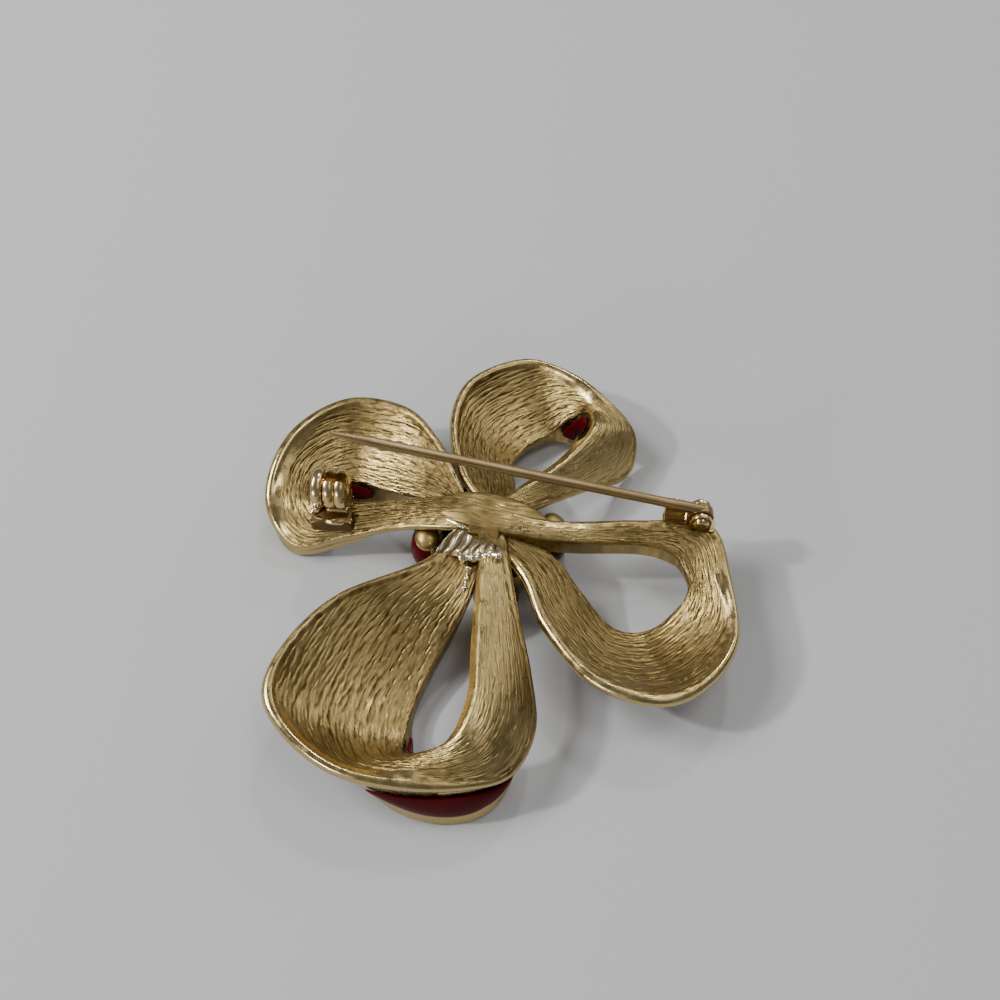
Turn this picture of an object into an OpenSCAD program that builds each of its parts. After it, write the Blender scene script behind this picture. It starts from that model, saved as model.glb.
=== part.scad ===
// Bow brooch of four ribbon loops, lying face down with its pin fittings up.
// +X runs to the right along the back strip, +Y away from the lowest loop,
// +Z out of the brooch's back, and z = 0 is the table under its face.

/* [Bow] */
// Reach of the upper left loop from the hub
reach_a = 24; // [22:0.5:26]
// Reach of the upper right loop from the hub
reach_b = 22; // [20:0.5:24]
// Reach of the lower left loop from the hub
reach_c = 29; // [27:0.5:31]
// Reach of the lower right loop from the hub
reach_d = 27; // [25:0.5:29]
// Height of the back strip over the table
arch_h = 8; // [7.6:0.1:8.6]
// Thickness of the cast ribbon
ribbon_t = 1.3; // [1.1:0.1:1.5]
// Radius of the polished bead along a loop's outer rim
rim_r = 0.75; // [0.65:0.05:0.85]
// Number of rings along each loop
loop_rings = 32; // [28:1:34]

/* [Enamel] */
// Depth of the sunk face that holds the enamel
recess_d = 0.4; // [0.3:0.05:0.5]
// Clearance left between enamel and metal
enamel_gap = 0.07; // [0.05:0.01:0.08]
// How far the enamel stands out of its recess
enamel_proud = 0.1; // [0.05:0.05:0.2]
// How far the lower left tip's front lip passes its rim
lip_out = 1.8; // [1.4:0.1:2.2]

// Bare metal left between the enamel of a wall and the lip under it
lip_w = 1.5; // [1.2:0.1:1.8]

/* [Hub] */
// Length of the pad over the knot, from point to point
hub_l = 13; // [12:0.1:14]
// Width of the pad in its middle
hub_w = 5; // [4.4:0.1:5.6]
// Height of the pad over the strip
hub_h = 0.8; // [0.6:0.05:0.8]
// Radius of the core between the pad and the rosette
core_r = 2.6; // [2.2:0.1:3]

/* [Rosette] */
// Radius of the black stone
stone_r = 5; // [4.6:0.1:5.2]
// Height of the black stone
stone_h = 2.6; // [2.2:0.1:2.8]
// Wall of the ring that holds the stone
ring_t = 0.6; // [0.5:0.05:0.8]
// Radius of each small petal
petal_r = 1.7; // [1.4:0.1:2]
// Turn of the first petal about the hub
petal_turn = 10; // [5:1:15]

/* [Pin] */
// Length of the pin from its pivot to its point
pin_l = 38.1; // [37.9:0.1:38.1]
// Radius of the pin's wire
pin_r = 0.5; // [0.45:0.05:0.55]
// Angle at which the pin stands open
pin_open = 14; // [10:1:20]
// Turn of the closed pin seen from above
pin_turn = 3.5; // [3:0.5:4]
// Distance of the pivot to the right of the hub
pivot_x = 21.3; // [21:0.1:21.6]
// Height of the pivot over the back strip
pivot_rise = 0.2; // [0.2:0.05:0.4]
// Radius of the pin's eye
eye_r = 1.3; // [1.2:0.05:1.4]
// Width of the pin's eye
eye_w = 1; // [0.9:0.1:1.2]
// Radius of the rivet through the eye
rivet_r = 0.45; // [0.4:0.05:0.5]
// Running clearance round the rivet
rivet_gap = 0.05; // [0.04:0.01:0.08]
// Thickness of each ear of the hinge
ear_t = 0.5; // [0.4:0.05:0.6]
// Clearance between an ear and the eye
ear_gap = 0.1; // [0.08:0.01:0.15]

/* [Catch] */
// Distance of the catch from the pivot along the pin
catch_l = 37; // [36.6:0.1:37.2]
// Outer radius of the catch's case
case_r = 2.1; // [2:0.05:2.2]
// Width of the catch's case
case_w = 2.3; // [2.1:0.1:2.5]
// Outer radius of the turning barrel
barrel_r = 1.4; // [1.35:0.05:1.45]
// Width of the barrel's thumb flange
flange_w = 1.1; // [0.9:0.1:1.2]
// Width of the slot that lets the pin in
slot_w = 1.3; // [1.25:0.05:1.35]
// Running clearance between barrel and case
barrel_gap = 0.06; // [0.05:0.01:0.08]

/* [Hidden] */

$fn = 32;
// The pin's axis runs this far over the pivot, tangent to the eye
stem_rise = eye_r - pin_r;
hub_z = arch_h - 0.4;
pivot_z = arch_h + pivot_rise;
// The hub stands here, so that the outline's middle is over the origin and the
// loops' lowest edges are on the table
hub_at = [-0.2, 3.5, -0.3];
hub_turn = 12;
gather_n = 5;
// Heights of the front lips, the ring and the spokes over the table
lip_z = 0.5;
lip_in = 1.2;
ring_z = 0.9;
spoke_z = 3;
spoke_t = 0.8;
skin_t = 0.4;
skin_gap = 2 * enamel_gap;
petal_h = 3;
// Sizes of the hinge and the pin's point
ear_r = 1.1;
base_drop = 0.9;
back_l = 2.4;
fixed_gap = 0.03;
head_t = 0.4;
point_l = 4;
root_l = 4;
root_t = 0.06;

// Each loop's sections, a row per section from the wide arm's root round the tip
// to the narrow arm's root. Lengths are shares of the loop's reach, heights are
// shares of arch_h, and the dish is a share of the section's own width.
// The last two are the walls under the outer and inner edges, from 0 for none to 1.
// [outer along, outer across, outer height, inner along, inner across, inner height, dish, outer wall, inner wall]
LOOP_A = [
    [ 0.13, -0.10, 0.92,   0.12, -0.02, 0.92,   0.00, 0.00, 0.00],
    [ 0.30, -0.38, 0.88,   0.34, -0.12, 0.60,   0.06, 0.00, 0.00],
    [ 0.48, -0.55, 0.82,   0.50, -0.17, 0.44,   0.08, 0.00, 0.50],
    [ 0.74, -0.57, 0.80,   0.63, -0.22, 0.34,   0.10, 0.00, 1.00],
    [ 0.93, -0.40, 0.80,   0.71, -0.21, 0.34,   0.10, 0.00, 1.00],
    [ 1.00, -0.18, 0.74,   0.73, -0.15, 0.46,   0.08, 0.30, 0.70],
    [ 0.98,  0.02, 0.52,   0.69, -0.06, 0.66,   0.00, 0.70, 0.00],
    [ 0.84,  0.13, 0.22,   0.61, -0.02, 0.78,  -0.06, 0.90, 0.00],
    [ 0.62,  0.09, 0.40,   0.50, -0.02, 0.86,  -0.08, 0.50, 0.00],
    [ 0.38,  0.05, 0.66,   0.35, -0.04, 0.94,  -0.06, 0.00, 0.00],
    [ 0.16,  0.06, 0.86,   0.16, -0.07, 0.98,  -0.04, 0.00, 0.00],
    [ 0.00,  0.05, 0.90,   0.00, -0.05, 0.94,   0.00, 0.00, 0.00]];
LOOP_B = [
    [ 0.04,  0.08, 0.88,   0.08,  0.00, 0.88,   0.00, 0.00, 0.00],
    [ 0.13,  0.28, 0.84,   0.24,  0.04, 0.62,   0.05, 0.00, 0.00],
    [ 0.34,  0.51, 0.82,   0.39,  0.17, 0.44,   0.08, 0.00, 0.00],
    [ 0.61,  0.61, 0.82,   0.55,  0.21, 0.30,   0.10, 0.00, 0.20],
    [ 0.89,  0.48, 0.82,   0.71,  0.17, 0.30,   0.08, 0.00, 0.50],
    [ 0.97,  0.24, 0.80,   0.82,  0.12, 0.46,   0.04, 0.00, 1.00],
    [ 0.96,  0.02, 0.72,   0.85,  0.05, 0.66,   0.00, 0.00, 1.00],
    [ 0.92, -0.19, 0.46,   0.77, -0.03, 0.82,  -0.04, 0.00, 0.50],
    [ 0.76, -0.26, 0.16,   0.65, -0.06, 0.88,  -0.06, 0.00, 0.00],
    [ 0.48, -0.18, 0.46,   0.43, -0.06, 0.94,  -0.06, 0.00, 0.00],
    [ 0.18, -0.10, 0.78,   0.18,  0.00, 0.94,  -0.04, 0.00, 0.00],
    [ 0.00, -0.06, 0.86,   0.00,  0.04, 0.90,   0.00, 0.00, 0.00]];
LOOP_C = [
    [ 0.04, -0.08, 0.84,   0.12,  0.02, 0.82,   0.00, 0.00, 0.00],
    [ 0.22, -0.20, 0.90,   0.32,  0.00, 0.72,   0.04, 0.00, 0.00],
    [ 0.41, -0.42, 0.88,   0.41, -0.04, 0.50,   0.06, 0.00, 0.30],
    [ 0.60, -0.53, 0.88,   0.53, -0.08, 0.32,   0.08, 0.00, 0.40],
    [ 0.78, -0.55, 0.88,   0.68, -0.11, 0.22,   0.10, 0.00, 0.50],
    [ 0.90, -0.45, 0.85,   0.79, -0.11, 0.24,   0.10, 0.00, 0.80],
    [ 0.98, -0.27, 0.81,   0.85, -0.09, 0.40,   0.06, 0.00, 0.80],
    [ 0.98, -0.07, 0.75,   0.85, -0.01, 0.68,   0.00, 0.80, 0.30],
    [ 0.93,  0.13, 0.68,   0.82,  0.05, 0.88,  -0.05, 1.00, 0.00],
    [ 0.85,  0.25, 0.56,   0.77,  0.08, 1.00,  -0.10, 0.60, 0.00],
    [ 0.69,  0.29, 0.52,   0.66,  0.09, 1.04,  -0.10, 0.00, 0.00],
    [ 0.52,  0.24, 0.68,   0.50,  0.06, 1.04,  -0.10, 0.00, 0.00],
    [ 0.34,  0.16, 0.86,   0.34,  0.03, 1.02,  -0.10, 0.00, 0.00],
    [ 0.18,  0.10, 0.92,   0.18,  0.00, 1.00,  -0.10, 0.00, 0.00],
    [ 0.04,  0.06, 0.84,   0.04, -0.04, 0.90,   0.00, 0.00, 0.00]];
LOOP_D = [
    [ 0.02, -0.06, 0.84,   0.10,  0.01, 0.84,   0.00, 0.00, 0.00],
    [ 0.23, -0.15, 0.86,   0.29,  0.00, 0.64,   0.04, 0.00, 0.00],
    [ 0.39, -0.28, 0.82,   0.41, -0.04, 0.44,   0.06, 0.00, 0.00],
    [ 0.63, -0.38, 0.82,   0.58, -0.08, 0.17,   0.08, 0.00, 0.00],
    [ 0.86, -0.34, 0.82,   0.70, -0.01, 0.12,   0.10, 0.00, 0.00],
    [ 0.98, -0.19, 0.76,   0.76,  0.10, 0.36,   0.10, 0.00, 0.00],
    [ 1.00,  0.03, 0.70,   0.76,  0.17, 0.50,   0.06, 0.00, 0.00],
    [ 0.87,  0.26, 0.68,   0.72,  0.20, 0.64,   0.00, 0.00, 0.00],
    [ 0.72,  0.41, 0.74,   0.66,  0.22, 0.78,  -0.02, 0.00, 0.15],
    [ 0.50,  0.27, 0.86,   0.54,  0.18, 0.86,  -0.04, 0.00, 0.15],
    [ 0.23,  0.09, 0.94,   0.27,  0.02, 0.94,  -0.04, 0.00, 0.15],
    [ 0.00,  0.03, 0.94,   0.03, -0.06, 0.94,   0.00, 0.00, 0.00]];

// The loops: [sections, turn, reach, how far the outer lip passes the rim, runs clockwise,
// share of the loop's length at which its enamel starts]
LOOPS = [[LOOP_A, 172, reach_a, 0.6, false, 0.19], [LOOP_B, 52, reach_b, 0, true, 0.16],
         [LOOP_C, 258, reach_c, lip_out, false, 0.16], [LOOP_D, 330, reach_d, 0, false, 0.16]];

// Catmull-Rom value between rows i and i + 1 of a table
function spline(t, i, f) =
    let (n = len(t) - 1, a = t[max(i - 1, 0)], b = t[i], c = t[min(i + 1, n)], d = t[min(i + 2, n)])
    b + f / 2 * (c - a + f * (2 * a - 5 * b + 4 * c - d + f * (3 * (b - c) + d - a)));
function row_at(t, u) =
    let (k = u * (len(t) - 1), i = min(floor(k), len(t) - 2))
    spline(t, i, k - i);
function unit(v) = v / norm(v);

// A loop's frame at u: outer point, inner point, chord, normal, width and dish depth
function place(v, turn, reach) =
    [reach * (v[0] * cos(turn) - v[1] * sin(turn)), reach * (v[0] * sin(turn) + v[1] * cos(turn)), arch_h * v[2]];
function frame_at(loop, u) =
    let (v = row_at(loop[0], u),
         o = place([v[0], v[1], v[2]], loop[1], loop[2]),
         i = place([v[3], v[4], v[5]], loop[1], loop[2]),
         e = unit(o - i),
         n = unit([0, 0, 1] - e[2] * e),
         w = norm(o - i))
    [o, i, e, n, w, v[6] * w, max(v[7], 0), max(v[8], 0), loop[3]];

// A point of a section: s from the inner edge along the chord, h along the normal,
// sunk by the dish
function on_section(f, s, h) =
    f[1] + f[2] * s + f[3] * (h - 4 * f[5] * s / f[4] * (1 - s / f[4]));

// The corners under a section's outer and inner edges. A wall share of 0 leaves
// them under the ribbon, and 1 takes them out and down to a lip near the table.
function corner_at(f, side) =
    let (a = side > 0 ? f[6] : f[7],
         base = on_section(f, side > 0 ? f[4] - rim_r : 0, -ribbon_t / 2),
         edge = side > 0 ? f[0] : f[1],
         reach = side > 0 ? f[8] : lip_in,
         out = side * unit([f[2][0], f[2][1], 0]))
    base * (1 - a) + a * ([edge[0], edge[1], lip_z] + a * reach * out);

// A point of the front face at t from the inner to the outer corner, r above it
function on_front(f, t, r) =
    let (i = corner_at(f, -1), o = corner_at(f, 1))
    i + (o - i) * t + f[3] * (r - 4 * f[5] * t * (1 - t) * (1 - max(f[6], f[7])));

// Shares of the front face that its inner edge, its outer edge and the step
// beside them take. An edge over a wall is broader.
function edges_at(f) =
    let (v = norm(corner_at(f, 1) - corner_at(f, -1)))
    [min(0.15, (0.45 + 0.5 * f[7]) / v), min(0.25, (0.45 + 1.2 * f[6]) / v), min(0.08, 0.22 / v), enamel_gap / v];

// Point k of the rim bead, from its top round to where it meets the outer wall
function on_bead(f, k) =
    let (a = 90 - (45 - 15 * f[6]) * k)
    f[0] + (f[2] * (cos(a) - 0.4) + f[3] * sin(a)) * rim_r;

// The ribbon's section: back face, rim bead, front face sunk between its edges
function ribbon_ring(f) =
    let (w = f[4] - rim_r, b = edges_at(f))
    concat(
        [for (k = [0 : 4]) on_section(f, w * k / 4, ribbon_t / 2)],
        [for (k = [0 : 4]) on_bead(f, k)],
        [for (t = [1, 1 - b[1]]) on_front(f, t, 0)],
        [for (t = [1 - b[1] - b[2], 0.5, b[0] + b[2]]) on_front(f, t, recess_d)],
        [for (t = [b[0], 0]) on_front(f, t, 0)]);

// The enamel's section, filling the sunk face
function enamel_ring(f) =
    let (b = edges_at(f), i = b[0] + b[2] + 2 * b[3], o = 1 - b[1] - b[2] - 2 * b[3])
    concat([for (t = [i, 0.5, o]) on_front(f, t, recess_d - enamel_gap)],
           [for (t = [o, 0.25 + o / 2, 0.5, 0.25 + i / 2, i]) on_front(f, t, -enamel_proud)]);

// Enamel skin on the outer or inner wall, from under the edge down to the lip
function skin_ring(f, side) =
    let (q = side > 0 ? on_bead(f, 4) : on_section(f, 0, ribbon_t / 2),
         c = corner_at(f, side),
         l = norm(c - q),
         d = (c - q) / l,
         out = side * unit([f[2][0], f[2][1], 0]),
         m = unit(out - (out * d) * d),
         a = q + d * l * (side > 0 ? 0.15 : 0.3) + m * skin_gap,
         b = c - d * min(lip_w, l * 0.35) + m * skin_gap)
    [a, b, b + m * skin_t * 0.3, (a + b) / 2 + m * skin_t, a + m * skin_t * 0.5];

function reversed(v) = [for (k = [len(v) - 1 : -1 : 0]) v[k]];

// Skin over rings of equal length, closed at both ends. Rings that run the other
// way round their path are turned over, so that the faces point outwards. A skin
// that lies on another one is split along the other diagonals, to lie evenly on it.
module loft(sections, flip = false, lies_on = false) {
    rings = flip ? [for (r = sections) reversed(r)] : sections;
    m = len(rings[0]);
    n = len(rings);
    polyhedron(
        points = [for (r = rings) each r],
        faces = concat(
            [[for (j = [0 : m - 1]) j]],
            [for (i = [0 : n - 2], j = [0 : m - 1])
                let (a = i * m + j, b = a + m, c = i * m + (j + 1) % m, d = c + m)
                each lies_on ? [[a, b, c], [b, d, c]] : [[a, b, d], [a, d, c]]],
            [[for (j = [m - 1 : -1 : 0]) (n - 1) * m + j]]));
}

// One cast ribbon, its wide arm and its narrow arm meeting at the tip. The wide
// arm ends in a short tang inside the narrow one.
module ribbon(loop) {
    tip = floor(loop_rings / 2);
    loft([for (k = [0 : tip + 1]) let (r = ribbon_ring(frame_at(loop, min(k, tip + 0.15) / loop_rings)))
        k > tip ? shrunk(r, 0.85) : r], loop[4]);
    loft([for (k = [tip : loop_rings]) ribbon_ring(frame_at(loop, k / loop_rings))], loop[4]);
}

// A ring drawn in towards its middle
function shrunk(r, share) =
    let (c = [for (p = r) 1] * r / len(r))
    [for (p = r) c + (p - c) * share];

// The enamel stops short of the knot at both arms' roots
module ribbon_enamel(loop) {
    loft([for (k = [round(loop[5] * loop_rings) : loop_rings - 6]) enamel_ring(frame_at(loop, k / loop_rings))],
        loop[4], true);
}

// Skin on a loop's wall between two shares of its length, on the ribbon's own rings
module wall_skin(loop, side, start, end) {
    loft([for (k = [round(start * loop_rings) : round(end * loop_rings)])
        skin_ring(frame_at(loop, k / loop_rings), side)], loop[4] != (side > 0), true);
}

// The pad over the knot, a low dome drawn out to a point along each strip
module hub_pad() {
    steps = 12;
    translate([0, 0, hub_z])
        rotate([0, 0, -hub_turn])
            loft([for (k = [0 : steps])
                let (a = 15 + 150 * k / steps, w = hub_w / 2 * pow(sin(a), 1.6), h = hub_h * sin(a))
                [for (b = [0 : 30 : 330]) [-hub_l / 2 * cos(a), w * cos(b), h * sin(b)]]]);
}

// Gathers where the lowest loop leaves the knot
module gathers() {
    for (k = [0 : gather_n - 1])
        rotate([0, 0, 222 + 13 * k])
            hull() {
                translate([1.75, 0, hub_z + 0.4]) sphere(r = 0.45, $fn = 8);
                translate([5, 0, hub_z + 0.1]) sphere(r = 0.3, $fn = 8);
            }
}

module knot_core() {
    translate([0, 0, spoke_z]) cylinder(h = hub_z - spoke_z + 0.5, r = core_r);
    for (a = [0 : 90 : 270])
        rotate([0, 0, a + petal_turn + 45])
            hull() {
                translate([0, 0, spoke_z]) cylinder(h = spoke_t, r = 0.9, $fn = 12);
                translate([stone_r + ring_t / 2, 0, spoke_z]) cylinder(h = spoke_t, r = 0.5, $fn = 12);
            }
    translate([0, 0, ring_z])
        difference() {
            cylinder(h = spoke_z + spoke_t - ring_z, r = stone_r + enamel_gap + ring_t);
            translate([0, 0, -1]) cylinder(h = 3 * spoke_z, r = stone_r + enamel_gap);
        }
}

// Stands each small petal on the stone's ring
module at_petals() {
    for (a = [0 : 90 : 270])
        rotate([0, 0, a + petal_turn])
            translate([stone_r + ring_t + 0.4, 0, 0])
                children();
}

// A small petal's gold wall with its rounded rim
module petal_wall() {
    rotate([0, 0, -125])
        rotate_extrude(angle = 250, $fn = 24) {
            translate([petal_r - 0.5, ring_z + 0.1]) square([0.5, petal_h - 0.1]);
            translate([petal_r - 0.25, ring_z + petal_h]) circle(r = 0.42, $fn = 12);
        }
}

// The enamel on the outside of a small petal
module petal_skin() {
    rotate([0, 0, -85])
        rotate_extrude(angle = 170)
            translate([petal_r + enamel_gap, ring_z])
                polygon([[0, 0], [0.5, 0.1], [0.7, petal_h * 0.5], [0.3, petal_h - 0.7], [0, petal_h - 0.7]]);
}

// Frame of the pin: x runs to its point, y is the hinge's axis
module at_pivot() {
    translate([pivot_x, 0, pivot_z]) rotate([0, 0, 180 - pin_turn]) children();
}

module at_catch() {
    at_pivot() translate([catch_l, 0, stem_rise]) rotate([0, 90, 0]) children();
}

// The hinge's base and two ears, soldered on the lower right loop
module hinge_bracket() {
    half = eye_w / 2 + ear_gap;
    at_pivot() difference() {
        union() {
            translate([-1.7, -half - ear_t, -eye_r - base_drop])
                cube([back_l + 2.9, 2 * (half + ear_t), base_drop - 0.1]);
            for (s = [-1, 1])
                translate([0, s * (half + ear_t / 2), 0])
                    rotate([90, 0, 0]) {
                        cylinder(h = ear_t, r = ear_r, center = true);
                        translate([-ear_r, -eye_r - 0.3, -ear_t / 2]) cube([2 * ear_r, eye_r + 0.3, ear_t]);
                    }
            // The far ear runs on along the base
            translate([0, -half - ear_t, -eye_r - 0.3]) cube([back_l, ear_t, eye_r + 0.3]);
            translate([back_l, -half - ear_t / 2, 0])
                rotate([90, 0, 0]) {
                    cylinder(h = ear_t, r = ear_r, center = true);
                    translate([-ear_r, -eye_r - 0.3, -ear_t / 2]) cube([2 * ear_r, eye_r + 0.3, ear_t]);
                }
        }
        rotate([90, 0, 0]) cylinder(h = 8 * eye_w, r = rivet_r + fixed_gap, center = true);
    }
}

// The catch's slotted case on its foot, soldered on the upper left loop
module catch_case() {
    drop = case_r + 1.2;
    at_catch() difference() {
        union() {
            cylinder(h = case_w, r = case_r, center = true);
            translate([barrel_r, -1.5, -case_w / 2]) cube([drop - barrel_r, 3, case_w]);
        }
        cylinder(h = 4 * case_w, r = barrel_r + barrel_gap, center = true);
        translate([-2 * case_r, -slot_w / 2, -2 * case_w]) cube([2 * case_r, slot_w, 4 * case_w]);
    }
}

module bow_casting() {
    color("#c9b27a") translate(hub_at) {
        for (loop = LOOPS) ribbon(loop);
        hub_pad();
        gathers();
        knot_core();
        at_petals() petal_wall();
        hinge_bracket();
        catch_case();
    }
}

module enamel_upper_left() { color("#a01420") translate(hub_at) ribbon_enamel(LOOPS[0]); }
module enamel_upper_right() { color("#a01420") translate(hub_at) ribbon_enamel(LOOPS[1]); }
module enamel_lower_left() { color("#a01420") translate(hub_at) ribbon_enamel(LOOPS[2]); }
module enamel_lower_right() { color("#a01420") translate(hub_at) ribbon_enamel(LOOPS[3]); }
module tip_enamel() { color("#a01420") translate(hub_at) wall_skin(LOOPS[2], 1, 0.47, 0.66); }
module hole_enamel_upper_left() { color("#a01420") translate(hub_at) wall_skin(LOOPS[0], -1, 0.22, 0.44); }
module hole_enamel_upper_right() { color("#a01420") translate(hub_at) wall_skin(LOOPS[1], -1, 0.4, 0.62); }
module hole_enamel_lower_left() { color("#a01420") translate(hub_at) wall_skin(LOOPS[2], -1, 0.34, 0.46); }

// The black stone, a low dome with its flat back towards the knot
module rosette_stone() {
    dome = (stone_r * stone_r + stone_h * stone_h) / (2 * stone_h);
    color("#101010")
        translate(hub_at + [0, 0, spoke_z - enamel_gap])
            rotate_extrude()
                intersection() {
                    translate([0, dome - stone_h]) circle(r = dome, $fn = 64);
                    translate([0, -stone_h]) square([stone_r, stone_h]);
                }
}

module petal_enamel() { color("#a01420") translate(hub_at) at_petals() petal_skin(); }

// The rivet through ears and eye, headed at both ends
module hinge_rivet() {
    half = eye_w / 2 + ear_gap + ear_t;
    color("#d8b870")
        translate(hub_at) at_pivot()
            rotate([90, 0, 0]) {
                cylinder(h = 2 * half + 0.2, r = rivet_r, center = true);
                for (s = [-1, 1])
                    translate([0, 0, s * (half + 0.05 + head_t / 2)])
                        cylinder(h = head_t, r = rivet_r + 0.35, center = true);
            }
}

// The pin as it stands open: eye, wire and point
module pin() {
    color("#b8a078")
        translate(hub_at) at_pivot()
            rotate([0, -pin_open, 0])
                difference() {
                    union() {
                        rotate([90, 0, 0]) cylinder(h = eye_w, r = eye_r, center = true);
                        translate([0, 0, stem_rise]) rotate([0, 90, 0]) cylinder(h = root_l, r1 = pin_r + root_t, r2 = pin_r);
                        translate([0, 0, stem_rise]) rotate([0, 90, 0]) cylinder(h = pin_l - point_l, r = pin_r);
                        translate([pin_l - point_l, 0, stem_rise])
                            rotate([0, 90, 0]) cylinder(h = point_l, r1 = pin_r, r2 = 0.12);
                    }
                    rotate([90, 0, 0]) cylinder(h = 4 * eye_w, r = rivet_r + rivet_gap, center = true);
                }
}

// The slotted barrel that turns over the pin, closed at its end by a thumb flange
module catch_barrel() {
    flange_z = case_w / 2 + barrel_gap;
    color("#d9c48c")
        translate(hub_at) at_catch() {
            difference() {
                translate([0, 0, -case_w / 2]) cylinder(h = case_w / 2 + flange_z + 0.3, r = barrel_r);
                translate([0, 0, -case_w]) cylinder(h = case_w + flange_z, r = slot_w / 2);
                translate([-2 * barrel_r, -slot_w / 2, -case_w])
                    cube([2 * barrel_r, slot_w, case_w + flange_z]);
            }
            translate([0, 0, flange_z]) cylinder(h = flange_w, r = case_r);
            translate([-0.5, case_r - 0.4, flange_z]) cube([1, 1, flange_w]);
        }
}

bow_casting();
enamel_upper_left();
enamel_upper_right();
enamel_lower_left();
enamel_lower_right();
tip_enamel();
hole_enamel_upper_left();
hole_enamel_upper_right();
hole_enamel_lower_left();
rosette_stone();
petal_enamel();
catch_barrel();
hinge_rivet();
pin();
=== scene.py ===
# %% [markdown]
# # A bow brooch, lying on its face
# The object is a costume brooch: four cast ribbon loops round a knot, gold plated,
# with red enamel on the fronts. It lies face down, so this scene shows its back:
# striated metal, a hinged pin that stands open, and a roll-over safety catch.
# Every piece below is a surface worked out with numpy from a formula, in the same
# millimetres as the imported model, and put in place of the plain solid it stands for.

# %% Load the frame and keep its parts
import bpy, math
import numpy as np
from mathutils import Euler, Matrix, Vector


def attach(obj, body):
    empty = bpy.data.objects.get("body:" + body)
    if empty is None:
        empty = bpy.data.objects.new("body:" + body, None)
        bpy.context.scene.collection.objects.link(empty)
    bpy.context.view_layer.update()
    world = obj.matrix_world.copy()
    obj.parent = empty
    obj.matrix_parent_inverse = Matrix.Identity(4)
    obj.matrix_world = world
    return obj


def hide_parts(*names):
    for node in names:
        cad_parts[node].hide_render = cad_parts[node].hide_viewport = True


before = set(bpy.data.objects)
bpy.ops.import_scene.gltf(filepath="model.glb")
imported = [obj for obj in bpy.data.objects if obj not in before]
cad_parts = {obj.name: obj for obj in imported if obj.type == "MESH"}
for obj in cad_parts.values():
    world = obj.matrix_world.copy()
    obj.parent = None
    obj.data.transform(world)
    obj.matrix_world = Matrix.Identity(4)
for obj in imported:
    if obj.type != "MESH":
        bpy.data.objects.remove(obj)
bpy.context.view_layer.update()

# %% [markdown]
# ## Camera
# The photograph looks down at the brooch from in front of its lowest loop. The
# camera stands 112 mm from the table at the middle of the picture and 55.5 degrees
# over it, with a roll of 0.45 degrees and a 36 mm lens on a 36 mm square sensor. A
# camera can be placed by hand too, but from a distance and two angles each of them
# can be changed alone while the brooch stays in the picture.

# %% Camera
# The point, in mm in the frame, that every piece is modelled round
HUB = np.array([-0.2, 3.5, -0.3])
TILT, ROLL, DISTANCE = math.radians(55.5), math.radians(0.45), 112
LOOK_AT = HUB + [1.0, 7.2, 0]
cam = bpy.data.objects.new("camera", bpy.data.cameras.new("camera"))
bpy.context.collection.objects.link(cam)
cam.data.sensor_width, cam.data.lens = 36, 36
cam.data.clip_start, cam.data.clip_end = 0.005, 10
cam.location = Vector(LOOK_AT + DISTANCE * np.array([0, -math.cos(TILT), math.sin(TILT)])) / 1000
aim = Euler((math.pi / 2 - TILT, 0, 0)).to_matrix() @ Euler((0, 0, ROLL)).to_matrix()
cam.rotation_euler = aim.to_euler()
bpy.context.scene.camera = cam
print("camera at", [round(c * 1000) for c in cam.location], "mm")

# %% [markdown]
# ## The loops' section tables
# A cast ribbon is easiest to describe by its cross sections. Each row gives, as
# shares of the loop's reach, where the outer and inner edge stand (along the loop
# and across it) and how high they are as shares of the strip's height, then how
# deep the section is dished and how much wall goes down under either edge. The
# rows run from the wide arm's root round the tip to the narrow arm's root. A curve
# with a bevel would be shorter to write, but its section keeps one form, and here
# the width, the dish and the walls all change along the loop.

# %% Sizes and tables
# In mm: the strip's height, the ribbon's thickness, the rim's width, the depth of a
# sunk face, the space round enamel, and how far enamel stands proud of a face
ARCH, THICK, RIM, RECESS, GAP, PROUD = 8, 1.3, 0.75, 0.4, 0.07, 0.1
# The lip at a wall's foot: its height, the reach of an inner one, and how much stays
# bare under a skin of enamel at most; then the skin's thickness
LIP_Z, LIP_IN, LIP_W, SKIN = 0.5, 1.2, 1.5, 0.4
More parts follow.
